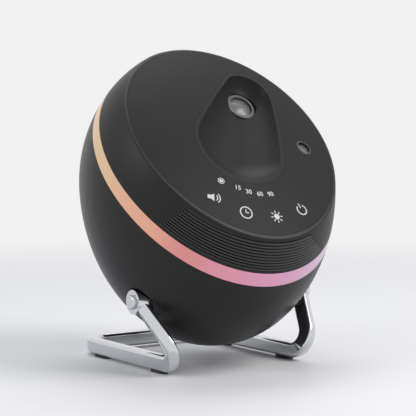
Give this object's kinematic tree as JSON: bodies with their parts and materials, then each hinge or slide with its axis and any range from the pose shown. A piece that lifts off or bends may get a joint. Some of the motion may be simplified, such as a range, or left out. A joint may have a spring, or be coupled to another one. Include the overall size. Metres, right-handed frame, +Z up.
{
  "type": "planetarium projector",
  "caption": "Egg-shaped table planetarium projector: lens dish and touch marks on a domed face, light ring, ribbed speaker grille, tilting in a bent-bar stand.",
  "frame": {"origin": "on the floor under the middle of the projector's bounding box", "axes": "+Z up, the face and lens look towards -Y, +X to the right seen from the front"},
  "size_m": [0.13, 0.1286, 0.1593],
  "materials": {
    "cap_plastic": "fine moulded texture",
    "bowl_plastic": "smooth satin moulding",
    "panel_plastic": "satin, printed touch marks",
    "grille_plastic": "satin ribs",
    "dish_plastic": "smooth satin dish",
    "collar_metal": "satin turned ring",
    "window_trim": "fine turned look",
    "lens_glass": "polished",
    "window_glass": "polished flat window",
    "diffuser": "milky light diffuser",
    "strip": "light strip",
    "board": "circuit board lacquer",
    "white_gear": "moulded gear",
    "wheel_film": "printed effect disc",
    "film": "clear grating film",
    "frame_plastic": "moulded",
    "steel": "plain steel",
    "motor_steel": "drawn steel can",
    "brass": "turned brass",
    "sink_metal": "cast fins",
    "cup_metal": "polished reflector",
    "cone_paper": "pressed cone",
    "magnet": "ferrite",
    "screw_steel": "zinc plated",
    "pivot_steel": "polished head",
    "washer": "friction washer",
    "stand_chrome": "polished plate",
    "pad_rubber": "soft rubber"
  },
  "bodies": {
    "stand": {"stand_frame": "stand_chrome", "foot_pads": "pad_rubber"},
    "projector": {"front_cap": "cap_plastic", "face_panel": "panel_plastic", "speaker_grille": "grille_plastic", "lens_dish": "dish_plastic", "main_lens": "lens_glass", "lens_collar": "collar_metal", "lens_barrel": "frame_plastic", "condenser_lens": "lens_glass", "window_bezel": "window_trim", "laser_window": "window_glass", "light_ring": "diffuser", "ring_strip": "strip", "touch_board": "board", "wheel_axle": "steel", "axle_clip": "steel", "wheel_motor": "motor_steel", "laser_module": "brass", "optics_frame": "frame_plastic", "led_board": "board", "light_cup": "cup_metal", "heat_sink": "sink_metal", "main_board": "board", "usb_socket": "steel", "speaker_frame": "frame_plastic", "speaker_cone": "cone_paper", "speaker_magnet": "magnet", "shell_screws": "screw_steel", "rear_shell": "bowl_plastic", "pivot_bushes": "brass", "friction_washers": "washer", "pivot_screws": "pivot_steel"},
    "wheel": {"effect_wheel": "wheel_film"},
    "pinion": {"drive_pinion": "brass", "motor_shaft": "steel"},
    "grating": {"grating_gear": "white_gear", "grating_film": "film"}
  },
  "joints": [
    {"name": "tilt", "type": "hinge", "parent": "stand", "child": "projector", "pos_m": [0, -0.013, 0.0355], "axis": [1, 0, 0], "range_deg": [-20, 15]},
    {"name": "wheel_spin", "type": "hinge", "parent": "projector", "child": "wheel", "pos_m": [0.01, 0.00227, 0.10373], "axis": [0, -0.7431, 0.6691], "continuous": true},
    {"name": "pinion_spin", "type": "hinge", "parent": "projector", "child": "pinion", "pos_m": [-0.01538, -0.01184, 0.08806], "axis": [0, -0.7431, 0.6691], "continuous": true},
    {"name": "grating_spin", "type": "hinge", "parent": "projector", "child": "grating", "pos_m": [0.03914, -0.00945, 0.09072], "axis": [0, -0.7431, 0.6691], "continuous": true}
  ],
  "couplings": [
    {"joint": "pinion_spin", "follows": "wheel_spin", "ratio": -5.6},
    {"joint": "grating_spin", "follows": "wheel_spin", "ratio": -4.6667}
  ]
}
